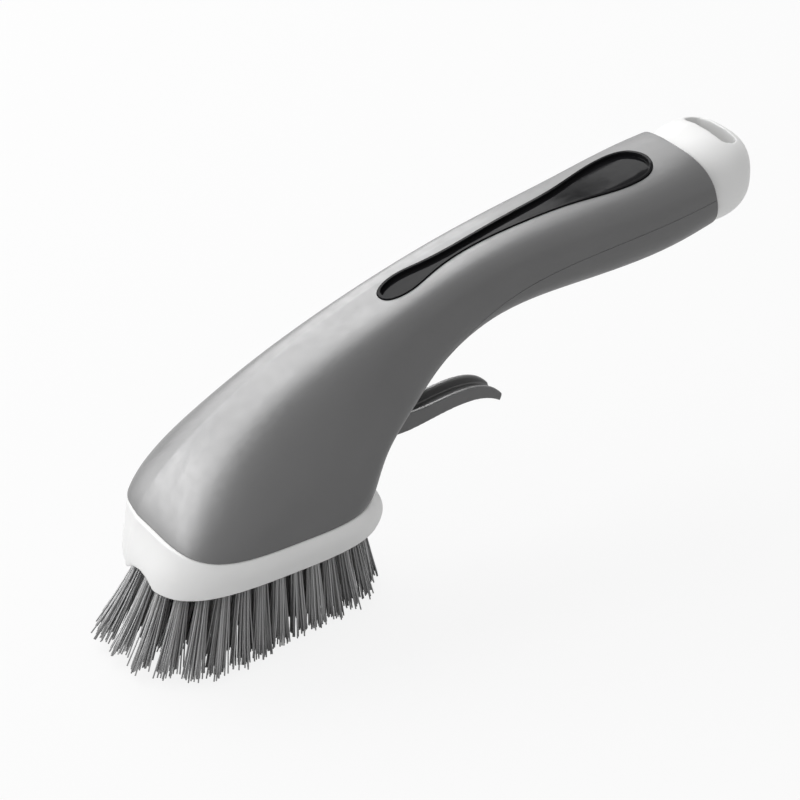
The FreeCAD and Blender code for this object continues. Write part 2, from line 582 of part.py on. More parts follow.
plunger_raw = fuse("plunger_raw",
                   cylinder("piston", "chamber_radius - run_fit", "piston_thick", "valve_x", "0",
                            PISTON_FOOT),
                   cylinder("stem", "stem_radius", "stem_rise + gland_sleeve + piston_set + 0.5", "valve_x",
                            "0", PISTON_TOP + " - 0.5"))
groove_band = cut("groove_band",
                  cylinder("groove_outer", "chamber_radius + 1", "2 * ring_radius + 2 * ring_fit", "valve_x",
                           "0", PISTON_TOP + " - 0.5 * piston_thick - ring_radius - ring_fit"),
                  cylinder("groove_core", groove_radius, "20", "valve_x", "0", PISTON_TOP + " - 12"))
plunger = cut("plunger", plunger_raw, groove_band)
plunger_seal = ring("plunger_seal", "chamber_radius - ring_fit - ring_radius", "ring_radius", "valve_x", "0",
                    PISTON_TOP + " - 0.5 * piston_thick")

spring_low = level(CHAMBER_FLOOR) + size("spring_wire")
spring_high = level(PISTON_TOP) - size("piston_thick") - size("spring_wire")
spring_height = spring_high - spring_low
spring_pitch = spring_height / size("spring_turns")


def coil_spot(angle):
    """Point of the spring's wire and the wire's direction there."""
    radius = size("spring_radius")
    spot = Vector(radius * math.cos(angle), radius * math.sin(angle), spring_pitch * angle / (2 * math.pi))
    way = Vector(-radius * math.sin(angle), radius * math.cos(angle), spring_pitch / (2 * math.pi))
    return spot, way.normalize()


def tangent_arc(start, corner, end):
    """Arc between two spots that touches the lines from them to the corner."""
    middle = (start + end) / 2
    half_turn = math.atan2((corner - middle).Length, (end - start).Length / 2)
    crown = middle + (corner - middle) * (math.tan(half_turn / 2) / math.tan(half_turn))
    return Part.Arc(start, crown, end).toShape()


def coil_step(first, second):
    """Two tangent arcs along a quarter turn of the spring."""
    (start, start_way), (end, end_way) = coil_spot(first), coil_spot(second)
    chord = end - start
    along = chord.dot(start_way + end_way)
    spread = 2 * (1 - start_way.dot(end_way))
    reach = (math.sqrt(along ** 2 + spread * chord.dot(chord)) - along) / spread
    corners = (start + start_way * reach, end - end_way * reach)
    middle = (corners[0] + corners[1]) / 2
    return [tangent_arc(start, corners[0], middle), tangent_arc(middle, corners[1], end)]


quarters = round(4 * size("spring_turns"))
coil_edges = []
for quarter in range(quarters):
    coil_edges += coil_step(quarter * math.pi / 2, (quarter + 1) * math.pi / 2)
coil_start, coil_way = coil_spot(0)
coil_mouth = Part.Wire(Part.makeCircle(size("spring_wire"), coil_start, coil_way))
return_spring = solid("return_spring", Part.Wire(coil_edges).makePipeShell([coil_mouth], True, False))
return_spring.Placement.Base = Vector(size("valve_x"), 0, spring_low)

# Squeeze lever: hub and arm inside the neck, open channel outside
hub_top = ("pivot_x + 1.5", "pivot_z + hub_radius - 0.4")
hub_foot = ("pivot_x - 1.5", "pivot_z - hub_radius + 0.4")
knee = ("pivot_x + 7", "lever_heel_z + 0.4")
heel = ("lever_heel_x", "lever_heel_z")
back = ("lever_back_x", "lever_back_z")
tip_top = ("lever_tip_x", "lever_tip_z + lever_tip_height")
tip_foot = ("lever_tip_x - 0.8", "lever_tip_z")
lever_runs = [[hub_foot, hub_top], [hub_top, back],
              [back, ("lever_mid_x", "lever_mid_z + lever_mid_height"),
               ("lever_end_x", "lever_end_z + lever_end_height"), tip_top],
              [tip_top, tip_foot],
              [tip_foot, ("lever_end_x", "lever_end_z"), ("lever_mid_x", "lever_mid_z"), heel],
              [heel, knee], [knee, hub_foot]]
floor_start = ("lever_heel_x + 2", "lever_heel_z + lever_floor")
floor_end = ("lever_tip_x - 0.4", "lever_tip_z + lever_floor")
roof_start = ("lever_heel_x + 2", "lever_back_z + 8")
roof_end = ("lever_tip_x + 6", "lever_back_z + 8")
open_end = ("lever_tip_x + 6", "lever_tip_z + lever_floor")
channel_runs = [[roof_end, roof_start], [roof_start, floor_start],
                [floor_start, ("lever_mid_x", "lever_mid_z + lever_floor"),
                 ("lever_end_x", "lever_end_z + lever_floor"), floor_end],
                [floor_end, open_end], [open_end, roof_end]]
arm_corners = [("valve_x", NOSE), ("valve_x + stem_radius + 1", NOSE + " - nose_radius + 0.6"),
               ("pivot_x", "pivot_z - hub_radius + 1.5"), ("pivot_x", "pivot_z + hub_radius - 0.5"),
               ("valve_x", NOSE + " + nose_radius - 0.1")]
lever_raw = fuse("lever_raw", curved_profile("lever_tail", lever_runs, "lever_half"),
                 cylinder("hub", "hub_radius", "2 * lever_half", "pivot_x", "-lever_half", "pivot_z", "Y"),
                 profile("lever_arm", arm_corners, "arm_half"),
                 cylinder("nose", "nose_radius", "2 * arm_half", "valve_x", "-arm_half", NOSE, "Y"))
trigger = cut("trigger", lever_raw, curved_profile("channel", channel_runs, "lever_half - lever_wall"),
              cylinder("hub_hole", "pin_radius + run_fit", "60", "pivot_x", "-30", "pivot_z", "Y"))

# Round mouth in the end of the handle
mouth_disc = common("mouth_disc", bulkhead_edge, seam_inside,
                    box("mouth_slab", ("60", "200", "200"), ("mouth_x", "-100", "0")))
filler_collar = cut("filler_collar", mouth_disc, cylinder("mouth_bore", "mouth_radius", "80", "mouth_x - 20",
                                                          "0", "mouth_z", "X"))

# Cap with plug and hang slot
def hang_prism(grow):
    """Slot outline across the cap, upright."""
    half = size("hang_half")
    reach = size("hang_width") / 2
    x = size("hang_x")
    ends = half - reach
    edges = [Part.makeLine(Vector(x - reach - grow, -ends, 0), Vector(x - reach - grow, ends, 0)),
             Part.Arc(Vector(x - reach - grow, ends, 0), Vector(x, half + grow, 0),
                      Vector(x + reach + grow, ends, 0)).toShape(),
             Part.makeLine(Vector(x + reach + grow, ends, 0), Vector(x + reach + grow, -ends, 0)),
             Part.Arc(Vector(x + reach + grow, -ends, 0), Vector(x, -half - grow, 0),
                      Vector(x - reach - grow, -ends, 0)).toShape()]
    face = Part.Face(Part.Wire(edges))
    face.translate(Vector(0, 0, size("tail_under_z") - 20))
    return face.extrude(Vector(0, 0, 80))


cap_hollow = solid("cap_hollow", dome_inner(size("wall")))
hang_tube = solid("hang_tube", hang_prism(size("hang_wall")))
hang_slot = solid("hang_slot", hang_prism(0))
end_cap = cut("end_cap", cap_outer, cut("cap_space", cap_hollow, hang_tube), hang_slot)
plug_edge = solid("plug_edge", dome_inner(size("wall") + size("seat_gap")))
plug_plate = common("plug_plate", plug_edge, box("plug_slab", ("plug_plate_thick", "200", "200"),
                                                 ("plug_plate_x", "-100", "0")))
plug_radius = "(mouth_radius - plug_fit)"
plug_start = "(mouth_x - plug_set)"
cap_groove_radius = "(mouth_radius - ring_fit - 2 * cap_ring_radius - ring_fit)"
plug_raw = fuse("plug_raw", plug_plate,
                cylinder("plug_wall_rod", plug_radius, "plug_plate_x - mouth_x + plug_set + 0.5", plug_start,
                         "0", "mouth_z", "X"))
cap_groove = cut("cap_groove",
                 cylinder("cap_groove_outer", "mouth_radius + 1", "2 * cap_ring_radius + 2 * ring_fit",
                          "cap_ring_x - cap_ring_radius - ring_fit", "0", "mouth_z", "X"),
                 cylinder("cap_groove_core", cap_groove_radius, "20", "cap_ring_x - 10", "0", "mouth_z", "X"))
cap_plug = cut("cap_plug", plug_raw, cap_groove,
               cylinder("plug_bore", cap_groove_radius + " - plug_wall", "plug_plate_x - mouth_x + plug_set",
                        plug_start + " - 0.5", "0", "mouth_z", "X"))
cap_o_ring = ring("cap_o_ring", "mouth_radius - ring_fit - cap_ring_radius", "cap_ring_radius", "cap_ring_x",
                  "0", "mouth_z", "X")


# Brush head
def block_section(front, rear, half, z, power=None):
    power = size("block_power") if power is None else power
    return section(Vector(front, 0, z), Vector(rear, 0, z), half, 0.5, power, power)


def slab_between(front, rear, half, low, high):
    """Upright prism of one rounded outline."""
    face = Part.Face(block_section(front, rear, half, low))
    return face.extrude(Vector(0, 0, high - low))


block_top = size("rim_under_z") - size("block_top_gap")


def block_wire(name):
    """Outline of the block at its waist, base or foot."""
    return block_section(level(BLOCK_FRONT + " - block_%s_flare" % name),
                         level(BLOCK_REAR + " + block_%s_back" % name),
                         level(BLOCK_HALF + " - block_%s_tuck" % name),
                         size("base_z" if name == "base" else "block_%s_z" % name))


block_wires = [block_wire("foot"), block_wire("base"), block_wire("waist"),
               block_section(level(BLOCK_FRONT), level(BLOCK_REAR), level(BLOCK_HALF), block_top)]
block_form = solid("block_form", Part.makeLoft(block_wires, True, False))
plug_in = size("wall") + size("plug_gap")
plug_front = size("rim_top_x") + plug_in + size("plug_front_draft")
plug_half = size("rim_half") - plug_in - size("plug_side_draft")
head_plug = solid("head_plug", slab_between(plug_front, size("rim_under_x") - plug_in, plug_half, block_top - 1,
                                            size("rim_under_z") + size("plug_rise")))
skirt_space = solid("skirt_space", slab_between(level(FOOT_FRONT + " + skirt"), level(FOOT_REAR + " - skirt"),
                                                level(FOOT_HALF + " - skirt"), size("block_foot_z") - 10,
                                                size("base_z")))
thumb_radius = "((thumb_width * thumb_width / 4 + thumb_height * thumb_height) / (2 * thumb_height))"
thumb_notch = cylinder("thumb_notch", thumb_radius, "40", FOOT_FRONT + " - 20", "0",
                       "block_foot_z + thumb_height - " + thumb_radius, "X")
grommet_seat = "(valve_radius + seat_gap + grommet_thick)"
spout_hole = cylinder("spout_hole", grommet_seat, "40", "valve_x", "0", VALVE_FOOT + " - 1")
drip_hole = cylinder("drip_hole", "nozzle_radius + 2 * seat_gap", "40", "valve_x", "0", "base_z - 10")
spout_grommet = cut("spout_grommet", cylinder("grommet_outer", grommet_seat, "grommet_height", "valve_x", "0",
                                              "grommet_low_z"),
                    cylinder("grommet_bore", "valve_radius + seat_gap", "40", "valve_x", "0",
                             "grommet_low_z - 10"))


def ring_spots(front, rear, half, count):
    """Evenly spaced spots on a rounded outline, the first at its rear end."""
    outline = block_section(front, rear, half, size("base_z"), size("tuft_row_power"))
    return outline.discretize(Number=count + 1)[:count]


def lean(spot):
    """Direction of a tuft from root to tip, fanned out from the origin."""
    along = size("lean_front") * spot.x / abs(outer_front)
    if spot.x > 0:
        along = size("lean_rear") * spot.x / outer_rear
    corner_share = max(0.0, spot.x / outer_front)
    across = (size("lean_side") + size("lean_corner") * corner_share) * spot.y / outer_half
    way = Vector(math.tan(math.radians(along)), math.tan(math.radians(across)), -1)
    return way.normalize()


def tuft(spot):
    """One tapered tuft, cut level at the tip plane."""
    way = lean(spot)
    root = spot - way * size("tuft_depth")
    length = size("tuft_depth") + (size("base_z") + 2) / -way.z
    cone = Part.makeCone(size("tuft_root_radius"), size("tuft_tip_radius"), length, root, way)
    return cone.common(Part.makeBox(200, 200, 100, Vector(-100, -100, 0)))


def tuft_socket(spot):
    way = lean(spot)
    length = size("tuft_hole_depth") + 2
    return Part.makeCylinder(size("tuft_hole"), length, spot + way * 2, way * -1)


def tuft_anchor(spot):
    """Short wire that pins the folded foot of a tuft."""
    way = lean(spot)
    middle = spot - way * (size("tuft_depth") + size("anchor_radius") + 0.05)
    across = way.cross(Vector(1, 0, 0)).normalize()
    start = middle - across * size("anchor_half")
    return Part.makeCylinder(size("anchor_radius"), 2 * size("anchor_half"), start, across)


outer_front = level(FOOT_FRONT + " + edge_front")
outer_rear = level(FOOT_REAR + " - edge_rear")
outer_half = level(FOOT_HALF + " - edge_side")
middle_front = outer_front + size("row_gap_front")
middle_half = outer_half - size("row_gap_side")
inner_front = middle_front + size("row_gap_front")
outer_spots = ring_spots(outer_front, outer_rear, outer_half, OUTER_COUNT)
middle_spots = ring_spots(middle_front, outer_rear - size("row_gap_rear"), middle_half, MIDDLE_COUNT)
inner_spots = ring_spots(inner_front, 0.0, middle_half - size("row_gap_side"), INNER_COUNT)
inner_spots.append(Vector(inner_front / 2, 0, size("base_z")))
every_spot = outer_spots + middle_spots + inner_spots
sockets = solid("sockets", Part.makeCompound([tuft_socket(spot) for spot in every_spot]))
brush_block = cut("brush_block", fuse("block_raw", block_form, head_plug), skirt_space, thumb_notch,
                  spout_hole, drip_hole, sockets)
outer_tufts = solid("outer_tufts", Part.makeCompound([tuft(spot) for spot in outer_spots]))
middle_tufts = solid("middle_tufts", Part.makeCompound([tuft(spot) for spot in middle_spots]))
inner_tufts = solid("inner_tufts", Part.makeCompound([tuft(spot) for spot in inner_spots]))
tuft_anchors = solid("tuft_anchors", Part.makeCompound([tuft_anchor(spot) for spot in every_spot]))

NODES = [upper_shell, lower_shell, window_lens, window_gasket, bulkhead, bulkhead_seal, outlet_hose,
         hose_clamps, valve_frame, frame_screws, valve_body, valve_gland, return_spring, pivot_pin,
         filler_collar, trigger, plunger, plunger_seal, end_cap, cap_plug, cap_o_ring, brush_block,
         outer_tufts, middle_tufts, inner_tufts, tuft_anchors, spout_grommet]
doc.recompute()
GROUPS = {"hose_clamps": 2, "frame_screws": 4, "outer_tufts": OUTER_COUNT, "middle_tufts": MIDDLE_COUNT,
          "inner_tufts": INNER_COUNT + 1, "tuft_anchors": len(every_spot)}
faults = []
for item in doc.Objects:
    if "Invalid" in item.State or "Error" in item.State:
        faults.append(item.Label + " state " + str(item.State))
for item in NODES:
    shape = item.Shape
    wanted = GROUPS.get(item.Label, 1)
    if shape.isNull():
        faults.append(item.Label + " is empty")
    elif not shape.isValid() or len(shape.Solids) != wanted:
        faults.append("%s has %d solids" % (item.Label, len(shape.Solids)))
if faults:
    raise RuntimeError("; ".join(faults))
for item in NODES:
    solids = item.Shape.Solids
    piece = solids[0] if len(solids) == 1 else Part.makeCompound(solids)
    piece.exportStep("parts/" + item.Label + ".step")
    print("%-14s %2d solids %9.1f mm3" % (item.Label, len(solids), piece.Volume))
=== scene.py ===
"""Finishes, bristles and stage for a soap-dispensing dish wand, around its fixed frame."""

import math
import random

import bmesh
import bpy
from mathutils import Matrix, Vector


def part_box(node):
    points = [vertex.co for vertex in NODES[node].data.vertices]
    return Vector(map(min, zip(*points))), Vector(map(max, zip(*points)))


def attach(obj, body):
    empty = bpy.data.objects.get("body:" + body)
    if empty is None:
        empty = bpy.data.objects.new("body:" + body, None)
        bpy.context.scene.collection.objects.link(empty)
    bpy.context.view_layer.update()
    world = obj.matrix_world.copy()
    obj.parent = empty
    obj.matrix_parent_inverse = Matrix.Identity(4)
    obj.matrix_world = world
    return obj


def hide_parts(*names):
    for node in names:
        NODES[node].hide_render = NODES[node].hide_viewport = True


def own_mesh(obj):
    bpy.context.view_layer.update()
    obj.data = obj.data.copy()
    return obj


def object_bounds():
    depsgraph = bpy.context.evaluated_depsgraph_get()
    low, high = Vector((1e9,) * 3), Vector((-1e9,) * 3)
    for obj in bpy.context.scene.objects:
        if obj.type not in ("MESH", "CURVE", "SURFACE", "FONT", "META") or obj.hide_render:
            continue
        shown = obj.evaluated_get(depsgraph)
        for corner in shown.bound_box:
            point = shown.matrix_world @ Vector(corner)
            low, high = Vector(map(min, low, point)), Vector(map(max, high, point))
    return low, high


bl_info = {
    "name": "Dish Wand",
    "version": (1, 0, 0),
    "blender": (4, 5, 0),
    "location": "3D View > Sidebar > Wand",
    "description": "Dresses the dish wand's frame with its finishes, bristles and stage",
    "category": "Object",
}

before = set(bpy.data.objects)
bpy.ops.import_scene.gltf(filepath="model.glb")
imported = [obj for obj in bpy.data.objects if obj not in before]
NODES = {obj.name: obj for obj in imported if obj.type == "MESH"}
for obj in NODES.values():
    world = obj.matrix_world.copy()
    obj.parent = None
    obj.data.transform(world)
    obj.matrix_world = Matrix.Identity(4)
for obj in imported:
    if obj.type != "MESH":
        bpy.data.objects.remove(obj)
CAD_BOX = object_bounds()
MM = 0.001

BRISTLE_ROWS = ("outer_tufts", "middle_tufts", "inner_tufts")
SEALS = ("window_gasket", "bulkhead_seal", "plunger_seal", "cap_o_ring", "spout_grommet")
VALVE_PIECES = ("bulkhead", "valve_frame", "valve_body", "valve_gland", "plunger")
STEEL_PIECES = ("hose_clamps", "frame_screws", "pivot_pin", "tuft_anchors")

# Merge distances for the CAD meshes, and the depth of the bands that give a tuft's tip and root
WELD = 0.002 * MM
TUFT_WELD = 0.01 * MM
TIP_BAND = 0.02 * MM
ROOT_BAND = 1.3 * MM

# Moulded pieces: grain of the rounding against the soft edge's, and its passes
ROUNDING = {"trigger": (0.8, 8), "end_cap": (1.0, 10), "brush_block": (1.3, 6)}
ROUNDING_FACTOR = 0.5

# Middle of a noise's values, and the gloss and tint of the filaments
NOISE_LOW = 0.3
NOISE_HIGH = 0.7
STRAND_ROUGH = (0.30, 0.44)
STRAND_TINT = 0.45

# Filaments
HEAD_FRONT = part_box("outer_tufts")[0][0]
HEAD_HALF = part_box("outer_tufts")[1][1]
STRAND_SIDES = 5
STRAND_STEPS = 5
STRAND_TAPER = 0.12
STRAND_TURN = 0.2
STRAND_SHADE = (0.5, 0.25)
TUFT_SHADE = 0.15
GOLDEN_TURN = math.pi * (3 - math.sqrt(5))
BRISTLE_SEED = 11

# Stage: floor, surround and camera
FLOOR_DROP = 0.3 * MM
FLOOR_GREY = 0.80
FLOOR_ROUGH = 0.9
FLOOR_GLOW = 0.86
SURROUND_LIGHT = 0.48
SENSOR_WIDTH = 36.0

# Lamps, as name, place, width, height and watts; the cards show in gloss alone
BACK_LAMP = ("back_lamp", (0.1, 0.75, 1.15), 1.1, 0.8, 8.0)
LEFT_LAMP = ("left_lamp", (-0.68, 0.26, 0.44), 0.8, 0.8, 2.2)
GLOSS_CARDS = (
    ("sheen_card", (-0.24, 1.04, 0.78), 2.0, 0.84, 31.0),
    ("front_card", (-0.90, 0.78, 0.30), 1.0, 0.6, 11.0),
)
HEAD_SPOT = Vector((0.0, 0.0, 0.05))


class WandSizes(bpy.types.PropertyGroup):
    """Sizes of the bristles and of the stage."""

    strands: bpy.props.IntProperty(
        name="Strands", description="Filaments in one tuft", default=46, min=8, max=90)
    strand_width: bpy.props.FloatProperty(
        name="Strand width", description="Diameter of one filament", default=0.52 * MM, unit="LENGTH",
        precision=5)
    trim: bpy.props.FloatProperty(
        name="Trim", description="Mean height of the tips above the table", default=0.9 * MM, unit="LENGTH",
        precision=5)
    ragged: bpy.props.FloatProperty(
        name="Ragged tips", description="Spread of the trimmed lengths", default=0.7 * MM, unit="LENGTH",
        precision=5)
    stray: bpy.props.FloatProperty(
        name="Stray", description="Sideways bend of a filament at its tip", default=0.6 * MM, unit="LENGTH",
        precision=5)
    splay: bpy.props.FloatVectorProperty(
        name="Splay", description="Outward bend of the front tufts, along and across the head",
        default=(3.0 * MM, 6.0 * MM), size=2, unit="LENGTH", precision=5)
    rise: bpy.props.FloatProperty(
        name="Rise", description="Rise of the trim towards the front of the head", default=5.2 * MM,
        unit="LENGTH", precision=5)
    fan: bpy.props.FloatProperty(
        name="Fan", description="Width of a tuft's tip against its solid's", default=1.28)
    soft_edge: bpy.props.FloatProperty(
        name="Soft edge", description="Grain of the rounding on moulded edges", default=0.36 * MM,
        unit="LENGTH", precision=5)
    floor_width: bpy.props.FloatProperty(
        name="Floor width", description="Side of the floor", default=6.0, unit="LENGTH")
    camera_distance: bpy.props.FloatProperty(
        name="Camera distance", description="From the camera to its target", default=0.890, unit="LENGTH")
    camera_lens: bpy.props.FloatProperty(
        name="Focal length", description="Focal length on a 36 mm sensor, in millimetres", default=118.1)
    camera_azimuth: bpy.props.FloatProperty(
        name="Azimuth", description="Turn of the camera about the wand", default=math.radians(-34.0),
        subtype="ANGLE")
    camera_elevation: bpy.props.FloatProperty(
        name="Elevation", description="Rise of the camera over the floor", default=math.radians(32.3),
        subtype="ANGLE")
    camera_target: bpy.props.FloatVectorProperty(
        name="Target", description="Point at the middle of the picture", default=(0.09811, 0.07213, 0.0),
        subtype="TRANSLATION")


def colour_property(name, description, default):
    """Property for one base colour."""
    return bpy.props.FloatVectorProperty(
        name=name, description=description, default=default, subtype="COLOR", size=3, min=0.0, max=1.0)


class WandColours(bpy.types.PropertyGroup):
    """Base colours of the finishes."""

    shell: colour_property("Shell", "Satin grey of the handle", (0.130, 0.130, 0.131))
    white: colour_property("White", "White of the cap and the brush block", (0.88, 0.88, 0.875))
    window: colour_property("Window", "Smoked plastic of the level window", (0.010, 0.010, 0.011))
    bristle: colour_property("Bristle", "Grey nylon of the filaments", (0.40, 0.40, 0.402))
    seal: colour_property("Seal", "Black rubber of the seals", (0.014, 0.014, 0.014))
    hose: colour_property("Hose", "Cloudy silicone of the hose", (0.60, 0.61, 0.60))
    valve: colour_property("Valve", "Natural plastic of the valve", (0.52, 0.53, 0.55))
    steel: colour_property("Steel", "Bright wire and screws", (0.62, 0.62, 0.63))


# Materials
def node_at(tree, kind, **settings):
    """New shader node with its settings."""
    node = tree.nodes.new(kind)
    for name, value in settings.items():
        setattr(node, name, value)
    return node


def noise(tree, coordinates, size, detail=3.0):
    """Noise whose features are about the given size."""
    node = node_at(tree, "ShaderNodeTexNoise")
    node.inputs["Scale"].default_value = 1.0 / size
    node.inputs["Detail"].default_value = detail
    tree.links.new(coordinates, node.inputs["Vector"])
    return node.outputs["Fac"]


def spread(tree, source, low, high):
    """Source stretched from the middle of a noise to a low and a high value."""
    node = node_at(tree, "ShaderNodeMapRange")
    node.inputs["From Min"].default_value = NOISE_LOW
    node.inputs["From Max"].default_value = NOISE_HIGH
    node.inputs["To Min"].default_value = low
    node.inputs["To Max"].default_value = high
    tree.links.new(source, node.inputs["Value"])
    return node.outputs["Result"]


def tinted(tree, factor, colour, change):
    """Colour that goes from a little darker to a little lighter with the factor."""
    mix = node_at(tree, "ShaderNodeMix", data_type="RGBA")
    inputs = [socket for socket in mix.inputs if socket.type == "RGBA"]
    inputs[0].default_value = (*[channel * (1 - change) for channel in colour], 1)
    inputs[1].default_value = (*[min(1.0, channel * (1 + change)) for channel in colour], 1)
    tree.links.new(factor, mix.inputs["Factor"])
    return [socket for socket in mix.outputs if socket.type == "RGBA"][0]


def finish(name, colour, rough, rough_change=0.05, tint=0.05, cloud=14 * MM, grain=0.30 * MM,
           grain_depth=0.006 * MM, edge=0.25 * MM, **sockets):
    """Moulded finish: clouded colour and gloss, fine grain, softened edges."""
    material = bpy.data.materials.new(name)
    material.use_nodes = True
    tree = material.node_tree
    shader = tree.nodes["Principled BSDF"]
    place = node_at(tree, "ShaderNodeTexCoord").outputs["Object"]
    clouds = noise(tree, place, cloud)
    tree.links.new(tinted(tree, spread(tree, clouds, 0.0, 1.0), colour, tint), shader.inputs["Base Color"])
    patches = noise(tree, place, cloud / 4)
    gloss = spread(tree, patches, rough - rough_change, rough + rough_change)
    tree.links.new(gloss, shader.inputs["Roughness"])
    bump = node_at(tree, "ShaderNodeBump")
    bump.inputs["Distance"].default_value = grain_depth
    tree.links.new(noise(tree, place, grain, 2.0), bump.inputs["Height"])
    if edge:
        soft = node_at(tree, "ShaderNodeBevel", samples=6)
        soft.inputs["Radius"].default_value = edge
        tree.links.new(soft.outputs["Normal"], bump.inputs["Normal"])
    tree.links.new(bump.outputs["Normal"], shader.inputs["Normal"])
    for socket, value in sockets.items():
        shader.inputs[socket.replace("_", " ")].default_value = value
    return material


def shell_finish(colours):
    """Satin grey plastic."""
    return finish("grey_shell", colours.shell, 0.40, tint=0.03, edge=0.3 * MM, Specular_IOR_Level=0.7)


def white_finish(colours):
    """Plain white plastic."""
    return finish("white_plastic", colours.white, 0.40, tint=0.012, edge=0, Specular_IOR_Level=0.25)


def window_finish(colours):
    """Glossy smoked plastic."""
    return finish("smoked_window", colours.window, 0.07, rough_change=0.02, tint=0.2, grain_depth=0.001 * MM,
                  edge=0.3 * MM, Specular_IOR_Level=0.03)


def bristle_finish(colours):
    """Drawn nylon: each filament has its own shade and a soft gloss along it."""
    material = bpy.data.materials.new("grey_bristle")
    material.use_nodes = True
    tree = material.node_tree
    shader = tree.nodes["Principled BSDF"]
    shade = node_at(tree, "ShaderNodeAttribute", attribute_name="strand").outputs["Fac"]
    tree.links.new(tinted(tree, shade, colours.bristle, STRAND_TINT), shader.inputs["Base Color"])
    place = node_at(tree, "ShaderNodeTexCoord").outputs["Object"]
    tree.links.new(spread(tree, noise(tree, place, 2 * MM), *STRAND_ROUGH), shader.inputs["Roughness"])
    bump = node_at(tree, "ShaderNodeBump")
    bump.inputs["Distance"].default_value = 0.01 * MM
    tree.links.new(noise(tree, place, 0.3 * MM), bump.inputs["Height"])
    tree.links.new(bump.outputs["Normal"], shader.inputs["Normal"])
    return material


def dress(material, *nodes):
    """Gives CAD nodes a finish."""
    for node in nodes:
        mesh_object = NODES[node]
        if not mesh_object.material_slots:
            mesh_object.data.materials.append(material)
        for slot in mesh_object.material_slots:
            slot.material = material


# Pieces
def welded(node, distance):
    """Mesh of a CAD node with its coincident corners merged."""
    bm = bmesh.new()
    bm.from_mesh(NODES[node].data)
    bmesh.ops.remove_doubles(bm, verts=bm.verts, dist=distance)
    return bm


def new_piece(name, bm, material, body):
    """Object made from a mesh, with its material, riding on a body."""
    mesh = bpy.data.meshes.new(name)
    bm.to_mesh(mesh)
    bm.free()
    mesh.materials.append(material)
    piece = bpy.data.objects.new(name, mesh)
    bpy.context.scene.collection.objects.link(piece)
    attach(piece, body)
    return piece


def moulded(node, material, body, soft_edge):
    """Copy of a CAD piece with its edges rounded over, in the piece's place."""
    coarseness, passes = ROUNDING[node]
    piece = new_piece(node + "_moulded", welded(node, WELD), material, body)
    even = piece.modifiers.new("even_faces", "REMESH")
    even.mode = "VOXEL"
    even.voxel_size = soft_edge * coarseness
    even.use_smooth_shade = True
    soft = piece.modifiers.new("soft_edges", "SMOOTH")
    soft.factor = ROUNDING_FACTOR
    soft.iterations = passes
    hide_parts(node)


def return_coil(material):
    """Copy of the return spring, shaded smooth."""
    bm = welded("return_spring", WELD)
    for face in bm.faces:
        face.smooth = True
    piece = new_piece("return_coil", bm, material, "handle")
    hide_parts("return_spring")
    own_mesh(piece)


# Bristles
def tuft_lines(node):
    """Root, tip and end radii of each tuft solid in a CAD node."""
    bm = welded(node, TUFT_WELD)
    seen = set()
    lines = []
    for first in bm.verts:
        if first in seen:
            continue
        seen.add(first)
        island = [first]
        for vert in island:
            for edge in vert.link_edges:
                other = edge.other_vert(vert)
                if other not in seen:
                    seen.add(other)
                    island.append(other)
        low = min(vert.co.z for vert in island)
        high = max(vert.co.z for vert in island)
        foot = [vert.co.copy() for vert in island if vert.co.z < low + TIP_BAND]
        tip = sum(foot, Vector()) / len(foot)
        crown = [vert.co.copy() for vert in island if vert.co.z > high - ROOT_BAND]
        root = sum(crown, Vector()) / len(crown)
        way = (tip - root).normalized()
        radii = []
        for centre, spots in ((root, crown), (tip, foot)):
            radii.append(max((spot - centre - way * way.dot(spot - centre)).length for spot in spots))
        lines.append((root, tip, *radii))
    bm.free()
    return sorted(lines, key=lambda line: (round(line[0].x, 5), round(line[0].y, 5)))


def strand_template():
    """Upright filament of unit height and radius, drawn out from its round end."""
    bm = bmesh.new()
    bmesh.ops.create_circle(bm, cap_ends=True, segments=STRAND_SIDES, radius=1.0)
    end = bm.faces[:]
    for _ in range(STRAND_STEPS):
        grown = bmesh.ops.extrude_face_region(bm, geom=end)["geom"]
        end = [item for item in grown if isinstance(item, bmesh.types.BMFace)]
        rim = [item for item in grown if isinstance(item, bmesh.types.BMVert)]
        bmesh.ops.translate(bm, verts=rim, vec=(0, 0, 1 / STRAND_STEPS))
    bmesh.ops.recalc_face_normals(bm, faces=bm.faces)
    for face in bm.faces:
        face.smooth = len(face.verts) == 4
    mesh = bpy.data.meshes.new("strand_template")
    bm.to_mesh(mesh)
    bm.free()
    return mesh


def add_strand(bm, template, shade_layer, start, reach, bow, radius, shade):
    """One filament along a gently bent line."""
    first = len(bm.verts)
    bm.from_mesh(template)
    bm.verts.ensure_lookup_table()
    turn = reach.to_track_quat("Z", "Y").to_matrix()
    for vert in bm.verts[first:]:
        along = vert.co.z
        across = turn @ Vector((vert.co.x, vert.co.y, 0)) * radius * (1 - STRAND_TAPER * along)
        vert.co = start + reach * along + bow * along * along + across
        vert[shade_layer] = shade


